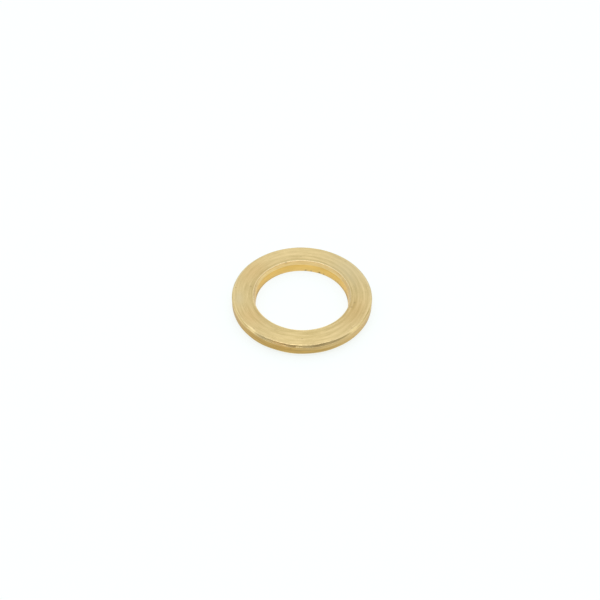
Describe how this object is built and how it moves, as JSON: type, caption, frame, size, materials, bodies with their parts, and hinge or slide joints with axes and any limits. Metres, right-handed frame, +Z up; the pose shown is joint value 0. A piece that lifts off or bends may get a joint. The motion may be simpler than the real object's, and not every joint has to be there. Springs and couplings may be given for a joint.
{
  "type": "flat washer",
  "caption": "Flat turned brass washer: a plain ring with a clearance bore, a tapered bore mouth and chamfered rim edges.",
  "frame": {"origin": "centre of the face the washer rests on, on the axis of the bore", "axes": "+Z up along the bore axis, from the resting face to the top face with the tapered bore mouth; X and Y lie in the resting face, and the ring is the same all the way round"},
  "size_m": [0.0198, 0.0198, 0.0019],
  "materials": {
    "turned_brass": "fine turned, satin"
  },
  "bodies": {
    "root": {"washer_ring": "turned_brass"}
  },
  "joints": []
}
